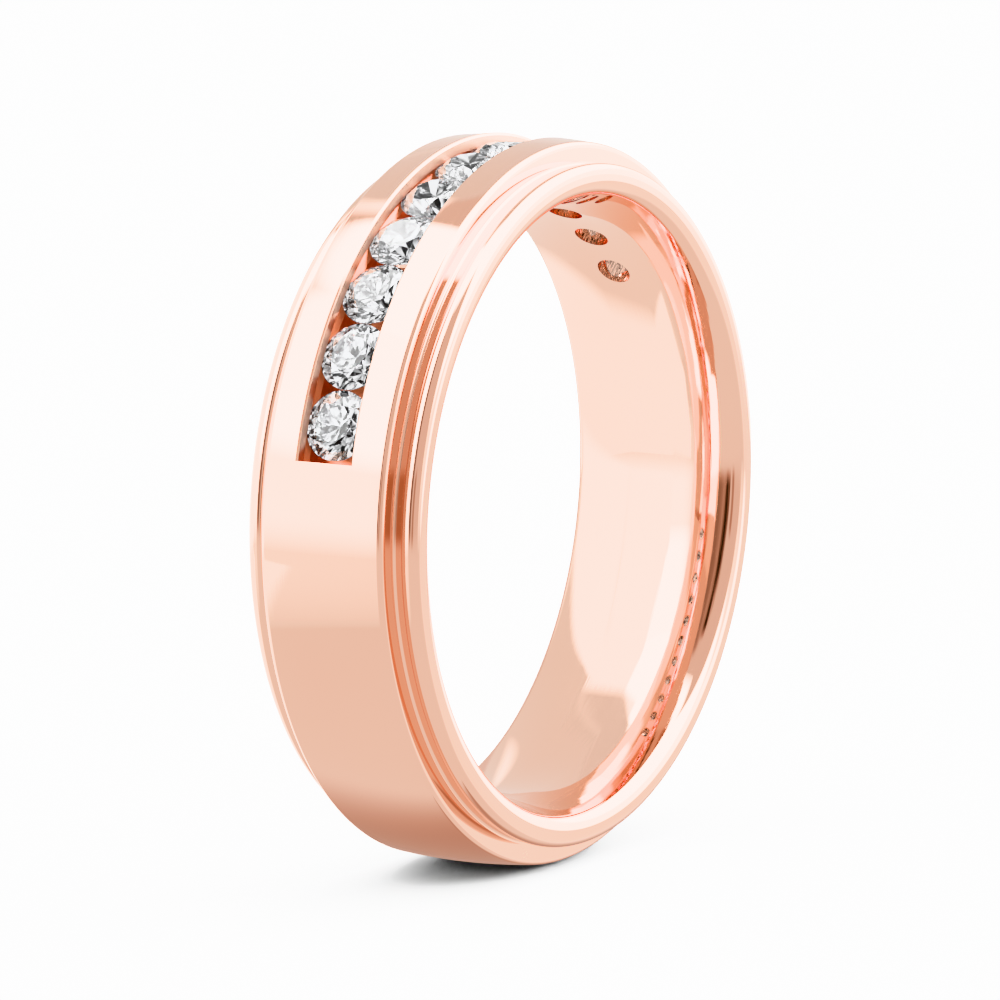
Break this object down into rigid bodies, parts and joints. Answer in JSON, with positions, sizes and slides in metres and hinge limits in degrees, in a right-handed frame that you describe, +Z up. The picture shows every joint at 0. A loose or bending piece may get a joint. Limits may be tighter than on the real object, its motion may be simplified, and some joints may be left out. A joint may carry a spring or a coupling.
{
  "type": "wedding band",
  "caption": "Wide comfort-fit ring with stepped, beaded edges and a channel-set row of round brilliants, each over an open light hole.",
  "frame": {"origin": "centre of the finger bore, half-way along the band's width", "axes": "+Y along the finger bore, +Z up with the band standing on its crown; the middle of the row of stones is 11.2 degrees from +Z towards -X"},
  "size_m": [0.0242, 0.0064, 0.0241],
  "materials": {
    "rose_gold": "mirror-polished 14 ct rose gold",
    "diamond": "polished colourless diamond, round brilliant cut"
  },
  "bodies": {
    "root": {"band": "rose_gold", "brilliant_01": "diamond", "brilliant_02": "diamond", "brilliant_03": "diamond", "brilliant_04": "diamond", "brilliant_05": "diamond", "brilliant_06": "diamond", "brilliant_07": "diamond", "brilliant_08": "diamond", "brilliant_09": "diamond", "brilliant_10": "diamond", "brilliant_11": "diamond"}
  },
  "joints": []
}
